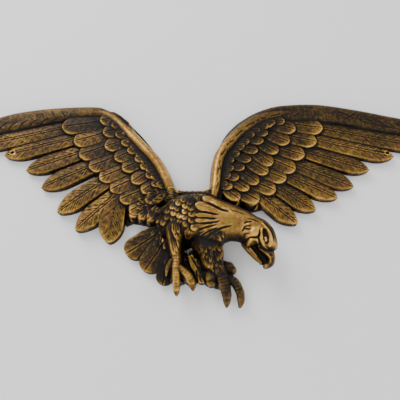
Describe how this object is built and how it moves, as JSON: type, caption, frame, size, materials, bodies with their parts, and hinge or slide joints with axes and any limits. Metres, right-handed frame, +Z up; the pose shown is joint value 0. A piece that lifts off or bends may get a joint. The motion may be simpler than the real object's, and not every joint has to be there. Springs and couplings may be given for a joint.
{
  "type": "eagle wall plaque",
  "caption": "Cast metal eagle relief with spread wings, head turned down and talons reaching, made to hang flat on a wall.",
  "frame": {"origin": "on the wall's plane, at the flat web in the middle of the body's back", "axes": "+X to the viewer's right along the wings, +Z up, -Y out of the wall towards the viewer, so the back faces +Y"},
  "size_m": [0.641, 0.0482, 0.2797],
  "materials": {
    "antique_brass": "antique: brass colour rubbed over a dark brown ground that stays in the recesses"
  },
  "bodies": {
    "root": {"eagle_casting": "antique_brass"}
  },
  "joints": []
}
